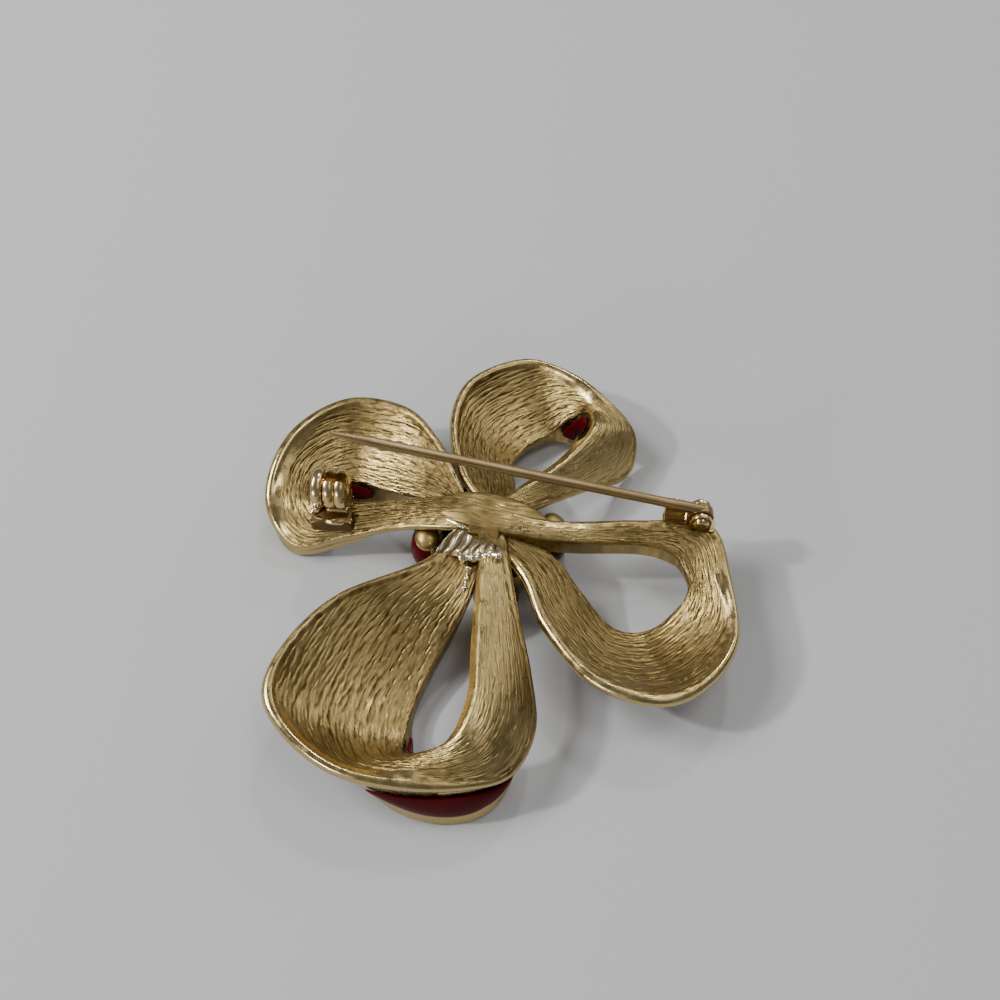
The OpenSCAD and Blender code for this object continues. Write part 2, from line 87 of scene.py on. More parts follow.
# For each loop: its axis in degrees and its reach; the station where its enamel
# starts; the shares of its length between which the rim is broad and plain; the
# share past which its lines are shallow; and the reach of its outer lip
LOOPS = {
    "upper_left": dict(turn=172, reach=24, enamel=6, plain=(0.36, 0.58), quiet=1.0, lip=0.6, rows=[
        [0.13, -0.10, 0.92, 0.12, -0.02, 0.92, 0.00, 0.00, 0.00],
        [0.30, -0.38, 0.88, 0.34, -0.12, 0.60, 0.06, 0.00, 0.00],
        [0.48, -0.55, 0.82, 0.50, -0.17, 0.44, 0.08, 0.00, 0.50],
        [0.74, -0.57, 0.80, 0.63, -0.22, 0.34, 0.10, 0.00, 1.00],
        [0.93, -0.40, 0.80, 0.71, -0.21, 0.34, 0.10, 0.00, 1.00],
        [1.00, -0.18, 0.74, 0.73, -0.15, 0.46, 0.08, 0.30, 0.70],
        [0.98, 0.02, 0.52, 0.69, -0.06, 0.66, 0.00, 0.70, 0.00],
        [0.84, 0.13, 0.22, 0.61, -0.02, 0.78, -0.06, 0.90, 0.00],
        [0.62, 0.09, 0.40, 0.50, -0.02, 0.86, -0.08, 0.50, 0.00],
        [0.38, 0.05, 0.66, 0.35, -0.04, 0.94, -0.06, 0.00, 0.00],
        [0.16, 0.06, 0.86, 0.16, -0.07, 0.98, -0.04, 0.00, 0.00],
        [0.00, 0.05, 0.90, 0.00, -0.05, 0.94, 0.00, 0.00, 0.00]]),
    "upper_right": dict(turn=52, reach=22, enamel=5, plain=(0.44, 0.52), quiet=0.52, lip=0, rows=[
        [0.04, 0.08, 0.88, 0.08, 0.00, 0.88, 0.00, 0.00, 0.00],
        [0.13, 0.28, 0.84, 0.24, 0.04, 0.62, 0.05, 0.00, 0.00],
        [0.34, 0.51, 0.82, 0.39, 0.17, 0.44, 0.08, 0.00, 0.00],
        [0.61, 0.61, 0.82, 0.55, 0.21, 0.30, 0.10, 0.00, 0.20],
        [0.89, 0.48, 0.82, 0.71, 0.17, 0.30, 0.08, 0.00, 0.50],
        [0.97, 0.24, 0.80, 0.82, 0.12, 0.46, 0.04, 0.00, 1.00],
        [0.96, 0.02, 0.72, 0.85, 0.05, 0.66, 0.00, 0.00, 1.00],
        [0.92, -0.19, 0.46, 0.77, -0.03, 0.82, -0.04, 0.00, 0.50],
        [0.76, -0.26, 0.16, 0.65, -0.06, 0.88, -0.06, 0.00, 0.00],
        [0.48, -0.18, 0.46, 0.43, -0.06, 0.94, -0.06, 0.00, 0.00],
        [0.18, -0.10, 0.78, 0.18, 0.00, 0.94, -0.04, 0.00, 0.00],
        [0.00, -0.06, 0.86, 0.00, 0.04, 0.90, 0.00, 0.00, 0.00]]),
    "lower_left": dict(turn=258, reach=29, enamel=5, plain=(0.30, 0.50), quiet=0.50, lip=1.65, rows=[
        [0.12, -0.10, 0.82, 0.12, 0.02, 0.82, 0.00, 0.00, 0.00],
        [0.245, -0.195, 0.89, 0.32, 0.00, 0.72, 0.04, 0.00, 0.00],
        [0.41, -0.42, 0.88, 0.41, -0.04, 0.50, 0.06, 0.00, 0.30],
        [0.60, -0.53, 0.88, 0.53, -0.08, 0.32, 0.08, 0.00, 0.40],
        [0.78, -0.55, 0.88, 0.68, -0.11, 0.22, 0.10, 0.00, 0.50],
        [0.90, -0.45, 0.85, 0.79, -0.11, 0.24, 0.10, 0.00, 0.80],
        [0.98, -0.27, 0.81, 0.85, -0.09, 0.40, 0.06, 0.00, 0.80],
        [0.98, -0.07, 0.75, 0.85, -0.01, 0.68, 0.00, 0.80, 0.30],
        [0.93, 0.13, 0.68, 0.82, 0.05, 0.88, -0.05, 1.00, 0.00],
        [0.85, 0.25, 0.56, 0.77, 0.08, 1.00, -0.10, 0.60, 0.00],
        [0.69, 0.29, 0.52, 0.66, 0.09, 1.04, -0.10, 0.00, 0.00],
        [0.52, 0.24, 0.68, 0.50, 0.06, 1.04, -0.10, 0.00, 0.00],
        [0.34, 0.16, 0.86, 0.34, 0.03, 1.02, -0.10, 0.00, 0.00],
        [0.18, 0.10, 0.92, 0.18, 0.00, 1.00, -0.10, 0.00, 0.00],
        [0.04, 0.06, 0.84, 0.04, -0.04, 0.90, 0.00, 0.00, 0.00]]),
    "lower_right": dict(turn=330, reach=27, enamel=5, plain=(0.50, 0.62), quiet=0.80, lip=0, rows=[
        [0.02, -0.06, 0.84, 0.10, 0.01, 0.84, 0.00, 0.00, 0.00],
        [0.23, -0.15, 0.86, 0.29, 0.00, 0.64, 0.04, 0.00, 0.00],
        [0.39, -0.28, 0.82, 0.41, -0.04, 0.44, 0.06, 0.00, 0.00],
        [0.63, -0.38, 0.82, 0.58, -0.08, 0.17, 0.08, 0.00, 0.00],
        [0.86, -0.34, 0.82, 0.70, -0.01, 0.12, 0.10, 0.00, 0.00],
        [0.98, -0.19, 0.76, 0.76, 0.10, 0.36, 0.10, 0.00, 0.00],
        [1.00, 0.03, 0.70, 0.76, 0.17, 0.50, 0.06, 0.00, 0.00],
        [0.87, 0.26, 0.68, 0.72, 0.20, 0.64, 0.00, 0.00, 0.00],
        [0.72, 0.41, 0.74, 0.66, 0.22, 0.78, -0.02, 0.00, 0.15],
        [0.50, 0.27, 0.86, 0.54, 0.18, 0.86, -0.04, 0.00, 0.15],
        [0.23, 0.09, 0.94, 0.27, 0.02, 0.94, -0.04, 0.00, 0.15],
        [0.00, 0.03, 0.94, 0.03, -0.06, 0.94, 0.00, 0.00, 0.00]]),
}
for name, loop in LOOPS.items():
    print(name, "has", len(loop["rows"]), "sections and reaches", loop["reach"], "mm")

# %% [markdown]
# ## Points on a ribbon
# A smooth curve through the rows gives the section at any share of a loop's length.
# Each function below gives one point per section: on the back, at the corner under
# an edge, on the front face, or on the round bead along the rim. They could go one
# section at a time, but on whole arrays they are fast enough to change a row of a
# table and look again.

# %% Sections and their points
BEAD_R = 0.7


def unit(v):
    return v / np.maximum(np.linalg.norm(v, axis=-1, keepdims=True), 1e-9)


def smooth(x, a, b):
    """0 below a, 1 above b, and the cubic 3t^2 - 2t^3 between them."""
    t = np.clip((x - a) / (b - a), 0, 1)
    return t * t * (3 - 2 * t)


def sections_at(loop, u):
    """The loop's sections at shares u of its length. Each column of the table is a
    Catmull-Rom curve through its rows. Returns the outer and inner point, the unit
    chord between them, the normal square to it, and the section's own values."""
    t = np.array(loop["rows"])
    k = u * (len(t) - 1)
    i = np.minimum(np.floor(k).astype(int), len(t) - 2)
    f = (k - i)[:, None]
    a, b, c, d = (t[np.clip(i + j, 0, len(t) - 1)] for j in (-1, 0, 1, 2))
    v = b + f / 2 * (c - a + f * (2 * a - 5 * b + 4 * c - d + f * (3 * (b - c) + d - a)))
    co, si = math.cos(math.radians(loop["turn"])), math.sin(math.radians(loop["turn"]))

    def place(along, across, height):
        return np.stack([loop["reach"] * (along * co - across * si),
                         loop["reach"] * (along * si + across * co), ARCH * height], -1)
    outer, inner = place(v[:, 0], v[:, 1], v[:, 2]), place(v[:, 3], v[:, 4], v[:, 5])
    chord = unit(outer - inner)
    normal = unit(np.array([0, 0, 1.0]) - chord[:, 2:] * chord)
    width = np.linalg.norm(outer - inner, axis=1)
    return dict(outer=outer, inner=inner, chord=chord, normal=normal, width=width,
                dish=v[:, 6] * width, outer_wall=np.maximum(v[:, 7], 0),
                inner_wall=np.maximum(v[:, 8], 0), lip=loop["lip"])


def on_section(f, s, h):
    """Point of each section at s mm from the inner edge and h mm over the ribbon's
    middle: inner + s * chord + (h - 4 * dish * x * (1 - x)) * normal, x = s / width."""
    x = s / f["width"]
    over = h - 4 * f["dish"] * x * (1 - x)
    return f["inner"] + f["chord"] * s[:, None] + f["normal"] * over[:, None]


def outward(f, side):
    """Level unit vector that leads away from the ribbon at its outer (1) or inner (-1) edge."""
    return side * unit(np.stack([f["chord"][:, 0], f["chord"][:, 1], 0 * f["width"]], -1))


def corner(f, side):
    """The corner under the outer (1) or inner (-1) edge: under the ribbon where
    there is no wall, and on the lip near the table where the wall is full."""
    zero = 0 * f["width"]
    a = (f["outer_wall"] if side > 0 else f["inner_wall"])[:, None]
    base = on_section(f, f["width"] - RIM if side > 0 else zero, -THICK / 2 + zero)
    low = (f["outer"] if side > 0 else f["inner"]).copy()
    low[:, 2] = LIP_Z
    lip = f["lip"] if side > 0 else LIP_IN
    return base * (1 - a) + a * (low + a * lip * outward(f, side))


def on_front(f, t, r):
    """Point of the front face at share t from the inner to the outer corner, r mm over it."""
    i, o = corner(f, -1), corner(f, 1)
    t = (t + 0 * f["width"])[:, None]
    walled = np.maximum(f["outer_wall"], f["inner_wall"])[:, None]
    sag = 4 * f["dish"][:, None] * t * (1 - t) * (1 - walled)
    return i + (o - i) * t + f["normal"] * (r - sag)


def on_bead(f, angle, radius=BEAD_R):
    """Point of the round rim bead at an angle in radians from the chord."""
    along, over = np.cos(angle) * radius - 0.4 * RIM, np.sin(angle) * radius
    return f["outer"] + f["chord"] * along[:, None] + f["normal"] * over[:, None]


def bead_foot(f):
    """Angle where the bead ends: straight down, or less where a wall goes on from it."""
    return np.radians(-90 + 60 * f["outer_wall"])


def front_edges(f):
    """Shares of the front face taken by its inner edge, outer edge, step and gap."""
    v = np.linalg.norm(corner(f, 1) - corner(f, -1), axis=1)
    inner = np.minimum(0.15, (0.45 + 0.5 * f["inner_wall"]) / v)
    outer = np.minimum(0.25, (0.45 + 1.2 * f["outer_wall"]) / v)
    return inner, outer, np.minimum(0.08, 0.22 / v), GAP / v


for name, loop in LOOPS.items():
    widest = sections_at(loop, np.linspace(0, 1, 100))["width"].max()
    print(name, "is up to", round(float(widest), 1), "mm wide")

# %% [markdown]
# ## Making a mesh from a grid
# All surfaces come out as arrays of rings. One helper joins neighbouring rings with
# quads, closes the ends, and turns the faces over where the signed volume comes out
# negative, since such a surface is inside out. The other writes the mesh in one
# call and stores two values per point for the materials: painted shade and polish.
# The bmesh module could build the same faces one at a time, but far more slowly.

# %% Grid helper
SHARP = math.radians(55)
made = {}


def add_mesh(name, parts):
    """One mesh object from a list of parts (points in mm from the hub, faces, values).
    It is shaded smooth, but for edges that are sharper than 55 degrees."""
    faces, base = [], 0
    for part in parts:
        faces += [[k + base for k in f] for f in part["faces"]]
        base += len(part["points"])
    points = np.concatenate([part["points"] for part in parts])
    mesh = bpy.data.meshes.new(name)
    mesh.from_pydata(((points + HUB) / 1000).tolist(), [], faces)
    for key in ("groove", "polish"):
        values = [np.broadcast_to(part.get(key, 0.0), len(part["points"])) for part in parts]
        layer = mesh.attributes.new(key, "FLOAT", "POINT")
        layer.data.foreach_set("value", np.concatenate(values).astype(np.float32))
    mesh.polygons.foreach_set("use_smooth", [True] * len(mesh.polygons))
    mesh.set_sharp_from_angle(angle=SHARP)
    mesh.update()
    made[name] = bpy.data.objects.new(name, mesh)
    bpy.context.collection.objects.link(made[name])
    triangles = sum(len(p.vertices) - 2 for p in mesh.polygons)
    print(f"{name}: {len(mesh.vertices)} points, {triangles} triangles")


def grid(rings, closed=False, **values):
    """Joins rings (n, m, 3) with quads; closed joins the last ring to the first, and
    otherwise both ends are closed. Volume = sum of a . (b x c) / 6 over triangles."""
    n, m = rings.shape[:2]
    i, j = np.meshgrid(np.arange(n if closed else n - 1), np.arange(m), indexing="ij")
    a, b, j2 = i * m, ((i + 1) % n) * m, (j + 1) % m
    quads = np.stack([a + j, b + j, b + j2, a + j2], -1).reshape(-1, 4)
    p = rings.reshape(-1, 3) - rings.reshape(-1, 3).mean(0)
    t = np.concatenate([quads[:, [0, 1, 2]], quads[:, [0, 2, 3]]])
    inside_out = (p[t[:, 0]] * np.cross(p[t[:, 1]], p[t[:, 2]])).sum() < 0
    ends = [] if closed else [list(range(m)), list(range((n - 1) * m, n * m))[::-1]]
    faces = quads.tolist() + ends
    if inside_out:
        faces = [f[::-1] for f in faces]
    values = {k: (v.reshape(-1) if np.ndim(v) == 2 else v) for k, v in values.items()}
    return dict(points=rings.reshape(-1, 3), faces=faces, **values)


print("meshes are split at edges over", round(math.degrees(SHARP)), "degrees")

# %% [markdown]
# ## Ribbon backs
# The casting keeps the tool marks of its wax model: fine wavy lines along each
# ribbon, about half a millimetre apart, that merge and part again, with a polished
# bead along the outer edge. They could be a bump texture, but real relief catches
# the light better at this scale, so the surface itself is displaced by ridges, and
# the depth of each groove is also kept for the colour, which is painted darker in
# the grooves as painted shade.

# %% Striations
# Pitches in mm of the three sets of lines
COARSE, MIDDLE, FINE = 0.62, 0.43, 0.21


def lines(place, power):
    """1 at each whole number of the place and 0 between them: 1 - |sin(pi place)|^power."""
    return 1 - np.abs(np.sin(math.pi * place)) ** power


def ridges(across, along, seed):
    """Height from 0 in a groove to 1 on a ridge. Each of three sets of lines lies at
    the place across the ribbon plus slow sines of both directions, with a power of
    0.5 or 0.6, so ridges are broad and grooves narrow; the sets differ in pitch, and
    each comes and goes along the ribbon, so that lines fork, merge and end."""
    sway = (0.34 * np.sin(along * 0.21 + across * 0.9 + seed)
            + 0.20 * np.sin(along * 0.55 - across * 2.1 + 2 * seed)
            + 0.14 * np.sin(along * 1.3 + across * 4.3 + 3 * seed))
    shake = (0.09 * np.sin(along * 3.1 - across * 6.0 + seed)
             + 0.07 * np.sin(along * 5.3 + across * 9.0 + 4 * seed))
    coarse = lines(across / COARSE + sway + shake, 0.5)
    middle = lines(across / MIDDLE - 1.3 * sway + shake + 0.6 * np.sin(along * 0.33 + seed), 0.5)
    fine = lines(across / FINE + 0.8 * sway - 2 * shake + 0.5 * np.sin(along * 0.9 + 5 * seed), 0.6)
    share = 0.5 + (0.5 * np.sin(along * 0.62 + across * 2.9 + 4 * seed)
                   * np.sin(along * 0.27 - across * 1.7))
    come = smooth(np.sin(along * 0.9 + across * 5.7 + 2 * seed)
                  + 0.7 * np.sin(along * 2.3 - across * 3.3), -1.2, 0.6)
    cut = 1.25 * (coarse * (1 - share) + middle * share) * (0.25 + 0.75 * come)
    return np.clip(1 - cut - 0.45 * fine * (1 - 0.6 * come), 0, 1)


print("lines at pitches of", COARSE, MIDDLE, FINE, "mm")

# %% Ribbons
# Columns over the back, round the bead and down a wall, and rings along a loop
BACK, BEAD, WALL, RINGS = 120, 18, 8, 380
# In mm: the deepest groove, the rounding of the inner edge, its width, the way
# round the bead, and the widths of ribbon between which the lines come up
DEPTH, EDGE, EDGE_W, GIRTH, NARROW = 0.14, 0.45, 0.5, 2.38, (1.0, 2.4)
# The bead starts at this angle from the chord; a plain rim comes in over this share
BEAD_TOP, EASE = 104, 0.05


def ribbon(loop, seed):
    """A ribbon's rings: the striated back from the rounded inner edge to the rim,
    the rim bead, the outer wall, the front with its sunk face, and the inner wall.
    The relief on the back is (1 - ridges) times DEPTH, less where it is quiet."""
    u = np.linspace(0, 1, RINGS)
    f = sections_at(loop, u)
    mid = (f["outer"] + f["inner"]) / 2
    along = np.concatenate([[0], np.cumsum(np.linalg.norm(np.diff(mid, axis=0), axis=1))])
    first, last = loop["plain"]
    plain = smooth(u, first - EASE, first) * (1 - smooth(u, last, last + EASE))
    quiet = 1 - 0.6 * smooth(u, loop["quiet"], loop["quiet"] + 0.12)
    wide, back = smooth(f["width"], *NARROW), f["width"] - RIM
    fan, zero = 4 + 0.55 * f["width"], np.zeros(RINGS)
    cols, groove, polish = [], [], []

    def put(point, deep, shine):
        cols.append(point)
        groove.append(deep + zero)
        polish.append(shine + zero)
    for k in range(BACK):
        x = k / (BACK - 1)
        s = back * x
        rise = 1 - np.sqrt(1 - (1 - np.clip(s / EDGE_W, 0, 1)) ** 2)
        lined = 1 - smooth(s, back - 1.1 * plain, back - 0.5 * plain + 0.05) * plain
        # deep is the groove's depth: it cuts the relief and is also stored as painted shade
        deep = (1 - ridges(x * fan, along, seed)) * (wide * lined * quiet)
        put(on_section(f, s, THICK / 2 - EDGE * rise - DEPTH * deep), deep,
            0.15 + 0.55 * (1 - lined) + 0.5 * (1 - quiet))
    for k in range(BEAD):
        share = k / (BEAD - 1)
        angle = np.radians(BEAD_TOP - share * (BEAD_TOP + 90 - 60 * f["outer_wall"]))
        fade = (1 - smooth(share, 0.05, 0.35)) * wide * (1 - plain)
        deep = (1 - ridges((1 + GIRTH * share / f["width"]) * fan, along, seed)) * fade
        # on the bead, 0.7 of the fading lines' depth is stored as painted shade
        put(on_bead(f, angle, BEAD_R - 0.8 * DEPTH * deep), 0.7 * deep,
            np.maximum(0.15 + 0.6 * smooth(share, 0.02, 0.3), 0.8 * plain))
    start, end = on_bead(f, bead_foot(f)), corner(f, 1)
    for k in range(1, WALL + 1):
        put(start + (end - start) * k / WALL, 0, 0.8)
    inner, outer, step, _ = front_edges(f)
    a, b = inner + step, 1 - outer - step
    stops = [(1 - outer, 0), (1 - outer - step * 0.3, RECESS)]
    stops += [(b + (a - b) * k / 14, RECESS) for k in range(15)]
    stops += [(inner + step * 0.3, RECESS), (inner, 0), (0, 0)]
    for t, r in stops:
        put(on_front(f, t, r), 0, 0.8)
    start, end = corner(f, -1), on_section(f, zero, THICK / 2 - EDGE + zero)
    # the inner wall is given patches of painted shade, up to 0.4 of the full shade
    deep = (1 - ridges(0.3 + zero, along, seed)) * 0.4
    for k in range(1, WALL):
        put(start + (end - start) * k / WALL, deep, 0.4)
    return grid(np.stack(cols, 1), groove=np.stack(groove, 1), polish=np.stack(polish, 1))


for k, (name, loop) in enumerate(LOOPS.items()):
    add_mesh("ribbon_" + name, [ribbon(loop, 1.7 * k + 0.4)])

# %% [markdown]
# ## Enamel
# The fronts are filled with glossy red enamel. It lies in the sunk faces, and on
# some walls, where it shows past the edge: under the lowest loop's tip and in the
# ends of three holes. Enamel stands a little proud and rounds off at its edges, as
# melted glass does, so each skin is a shallow crowned strip with pointed ends. A red
# mask on the metal would look flat here: as pieces of their own, the enamels have
# an edge that shades the metal and a gloss of their own.

# %% Enamel faces and skins
# The solids' rings stand at 32nds of a loop's length, and enamel starts and ends on one
STATIONS, LAST = 32, 26
# Depth in mm at which a face's edge meets the metal
SUNK = 0.12


def enamel_face(loop):
    """Fills a sunk face: flat against the metal, and on the outside a crown of
    sin(pi x)^0.35 that stands 0.1 mm over the metal."""
    u = np.linspace(loop["enamel"] / STATIONS, LAST / STATIONS, 220)
    f = sections_at(loop, u)
    inner, outer, step, gap = front_edges(f)
    a, b = inner + step + 2 * gap, 1 - outer - step - 2 * gap
    cols = [on_front(f, a + (b - a) * k / 12, RECESS - GAP) for k in range(13)]
    for k in range(17):
        crown = (SUNK + PROUD) * math.sin(math.pi * k / 16) ** 0.35
        cols.append(on_front(f, b - (b - a) * k / 16, SUNK - crown))
    return grid(np.stack(cols, 1))


def evened(p, n=17):
    """Moving average of a row of points, which takes the folds out of a tight bend."""
    q = np.concatenate([np.repeat(p[:1], n // 2, 0), p, np.repeat(p[-1:], n // 2, 0)])
    c = np.cumsum(np.concatenate([np.zeros((1, 3)), q]), 0)
    return (c[n:] - c[:-n]) / n


def enamel_skin(loop, side, first, last):
    """Skin on a wall, from under the edge down to the bare lip, thickest in its
    middle. At either end its two edges draw together by sin(pi t)^0.35, so that it
    tapers to a point."""
    outside = side > 0
    u = np.linspace(round(first * STATIONS) / STATIONS, round(last * STATIONS) / STATIONS, 90)
    f = sections_at(loop, u)
    zero = 0 * f["width"]
    top = on_bead(f, bead_foot(f)) if outside else on_section(f, zero, THICK / 2 + zero)
    foot = corner(f, side)
    if not outside:
        top, foot = evened(top), evened(foot)
    length = np.linalg.norm(foot - top, axis=1)[:, None]
    down = (foot - top) / np.maximum(length, 1e-6)
    out = outward(f, side)
    out = unit(out - (out * down).sum(1, keepdims=True) * down)
    a = top + down * length * (0.15 if outside else 0.12) + out * 2 * GAP
    b = foot - down * np.minimum(LIP_W, length * (0.35 if outside else 0.25)) + out * 2 * GAP
    end = np.sin(np.pi * np.linspace(0.004, 0.996, len(u)))[:, None] ** 0.35
    a, b = (a + b) / 2 + (a - b) / 2 * end, (a + b) / 2 - (a - b) / 2 * end
    cols = [a + (b - a) * k / 6 for k in range(7)]
    for k in range(15):
        swell = 0.05 + 0.85 * math.sin(math.pi * (0.06 + 0.88 * k / 14)) ** 0.5
        cols.append(b + (a - b) * k / 14 + out * SKIN * swell * end)
    return grid(np.stack(cols, 1))


for name, loop in LOOPS.items():
    add_mesh("enamel_face_" + name, [enamel_face(loop)])
SKINS = {"tip_skin": ("lower_left", 1, 0.47, 0.66), "hole_skin_upper_left": ("upper_left", -1, 0.22, 0.47),
         "hole_skin_upper_right": ("upper_right", -1, 0.41, 0.60),
         "hole_skin_lower_left": ("lower_left", -1, 0.34, 0.46)}
for name, (loop, side, first, last) in SKINS.items():
    add_mesh(name, [enamel_skin(LOOPS[loop], side, first, last)])

# %% [markdown]
# ## Shapes that repeat
# Three helpers make the rest. A tube follows a path with a radius at each point: it
# gives the pin, the roll of the gathers, the spokes and the solder. A turned shape
# carries a profile round an axis: it gives the stone, the ring, the petals and the
# rivet. A plate is an outline given thickness and rounded edges: it gives the ears,
# the bases and the catch. A bevelled curve, Spin and Solidify make such shapes as
# well, but these come without modifiers and carry the values for the materials.

# %% Tube, turned shape and plate
def tube(path, radius, sides=24, **values):
    """Rings of the given radius square to a path of points, turned as little as
    possible from one to the next; both ends are closed."""
    path, radius = np.array(path, float), np.broadcast_to(radius, len(path)).astype(float)
    tangent = unit(np.gradient(path, axis=0))
    up = [unit(np.cross(tangent[0], [0.31, 0.17, 0.93]))]
    for t in tangent[1:]:
        up.append(unit(up[-1] - t * (up[-1] @ t)))
    up = np.array(up)
    side = np.cross(tangent, up)
    a = np.linspace(0, 2 * np.pi, sides, endpoint=False)
    spokes = up[:, None] * np.cos(a)[None, :, None] + side[:, None] * np.sin(a)[None, :, None]
    return grid(path[:, None] + radius[:, None, None] * spokes, **values)


def turned(profile, start=0, sweep=360, steps=64, **values):
    """Carries a closed profile of (radius, height) round the z axis; a full turn
    joins up, and a part turn is closed at both ends."""
    r, z = np.array(profile, float).T
    whole = sweep == 360
    a = np.radians(start + sweep * np.arange(steps) / (steps if whole else steps - 1))[:, None]
    rings = np.stack([r * np.cos(a), r * np.sin(a), np.broadcast_to(z, (steps, len(z)))], -1)
    return grid(rings, closed=whole, **values)


def plate(outline, thick, edge, **values):
    """An outline of (x, y) points, counter-clockwise, given thickness along z about
    0, with quarter-round edges: near each face the outline draws in along its own
    normals by edge * (1 - cos)."""
    p = np.array(outline, float)
    n = unit(np.roll(p, -1, 0) - np.roll(p, 1, 0))
    n = np.stack([n[:, 1], -n[:, 0]], -1)
    a = np.radians([90, 75, 60, 45, 30, 15, 0])
    low = [(edge * (1 - math.cos(x)), -thick / 2 + edge * (1 - math.sin(x))) for x in a]
    levels = low + [(inset, -z) for inset, z in low[::-1]]
    rings = [np.column_stack([p - n * inset, np.full(len(p), z)]) for inset, z in levels]
    return grid(np.array(rings), **values)


def moved(part, axes=None, at=(0, 0, 0)):
    """The part with its x, y and z laid along three given axes, then moved."""
    if axes is not None:
        part["points"] = part["points"] @ np.array(axes, float)
    part["points"] = part["points"] + np.array(at, float)
    return part


print("ways to make a part:", tube.__name__, turned.__name__, plate.__name__)

# %% Outlines
# Turned profiles stop this far from their axis, in mm
AXIS = 0.002


def rect(x0, y0, x1, y1):
    return [(x0, y0), (x1, y0), (x1, y1), (x0, y1)]


def rounded(points, radius, steps=5):
    """A polygon with each corner cut back by radius and replaced by a quadratic curve."""
    p, out = np.array(points, float), []
    for k in range(len(p)):
        a, b, c = p[k - 1], p[k], p[(k + 1) % len(p)]
        r = min(radius, np.linalg.norm(a - b) / 2.2, np.linalg.norm(c - b) / 2.2)
        s, e = b + unit(a - b) * r, b + unit(c - b) * r
        t = np.linspace(0, 1, steps)[:, None]
        out.append((1 - t) ** 2 * s + 2 * t * (1 - t) * b + t ** 2 * e)
    return np.concatenate(out)


def arc(radius, first, last, steps, centre=(0, 0)):
    """Points on a circle between two angles in degrees."""
    a = np.radians(np.linspace(first, last, steps))
    return np.column_stack([centre[0] + radius * np.cos(a), centre[1] + radius * np.sin(a)])


print("turned profiles stop", AXIS, "mm from their axis")

# %% [markdown]
# ## The knot
# The four ribbons meet under a smooth oval pad. Where the lowest loop leaves it, the
# ribbon is pinched into bright folds, painted darker in their valleys as shade, that
# end in a rounded roll, with two shelves behind them painted dark as shade under the
# pad's edge. A bright edge runs along the pad, and small lumps of plating lie in the
# crease beside the loop's arm. Folds like these can be sculpted, but as a formula
# they can be tuned to the light, and slow sines keep them irregular.

# %% Pad and folds
# Heights in mm where the ribbons meet, where the core starts and where the ring starts
HUB_Z, SPOKE_Z, RING_Z = ARCH - 0.4, 3, 0.9


def pad(length=13.5, width=4.4, height=0.8, turn=-12):
    """A low dome drawn out to a point along each strip, with brushed lines along it:
    x = -l/2 cos a, y = w/2 sin(a)^1.6 cos b, z = h sin a |sin b|^0.5 with the sign
    of sin b, less 0.8 cos(a)^4 so that its ends sink into the strips, for a along it
    and b round it."""
    a = np.linspace(math.radians(8), math.radians(172), 150)[:, None]
    b = np.linspace(0, 2 * np.pi, 160, endpoint=False)[None, :]
    x = -length / 2 * np.cos(a) + 0 * b
    y = width / 2 * np.sin(a) ** 1.6 * np.cos(b)
    line = ridges(1.1 * y + 0.25 * np.sin(0.7 * x), x, 2.2)
    dent = 1 + 0.05 * np.sin(1.9 * x + 0.7 * y) + 0.04 * np.sin(2.4 * y - 1.1 * x + 1)
    over = np.sign(np.sin(b)) * np.abs(np.sin(b)) ** 0.5
    z = (height * dent - 0.06 * (1 - line)) * np.sin(a) * over - 0.8 * np.cos(a) ** 4
    c, s = math.cos(math.radians(turn)), math.sin(math.radians(turn))
    points = np.stack([x * c - y * s, x * s + y * c + 0.35, z + HUB_Z], -1)
    # The pad is painted a little darker all over, and its lines darker still as painted shade.
    return grid(points, polish=0.1, groove=0.22 + 0.6 * (1 - line))


def gathers(pleats=6):
    """A patch pinched into folds, for u across them and v along them: z is a slope
    plus (0.12 + 0.34 swell) times the fold |cos(pi n (u + sway))|^0.6 and a slow
    sine, and the underside comes back below it."""
    u = np.linspace(0, 1, 160)[:, None]
    v = np.concatenate([np.linspace(0, 1, 40), np.linspace(1, 0, 12)])[None, :]
    under = np.concatenate([np.zeros(40), np.ones(12)])[None, :]
    x = -3.5 + 4.6 * u + (-2.0 + 2.1 * u) * v
    y = -2.0 - 2.3 * u + (-2.5 + 1.2 * u) * v + 0.12 * np.sin(9 * u)
    sway = 0.02 * np.sin(5 * v + 7 * u) + 0.006 * np.sin(31 * u)
    fold = np.abs(np.cos(np.pi * pleats * (u + sway))) ** 0.6
    swell = np.sin(np.pi * np.clip(0.12 + 0.8 * v, 0, 1))
    slope = 0.35 + 0.25 * u + v * (0.95 * u - 0.5 * (1 - u)) - 0.5 * smooth(v, 0.86, 1.0) ** 2
    thick = 0.7 * (1 - smooth(v, 0.85, 1.0)) + 0.15
    z = HUB_Z + slope + (0.12 + 0.34 * swell) * (fold + 0.2 * np.sin(4 * v + 9 * u)) - under * thick
    # The valleys between the folds are painted darker, as shade.
    return grid(np.stack([x, y, z], -1), polish=1.0, groove=(1 - fold) ** 0.7)


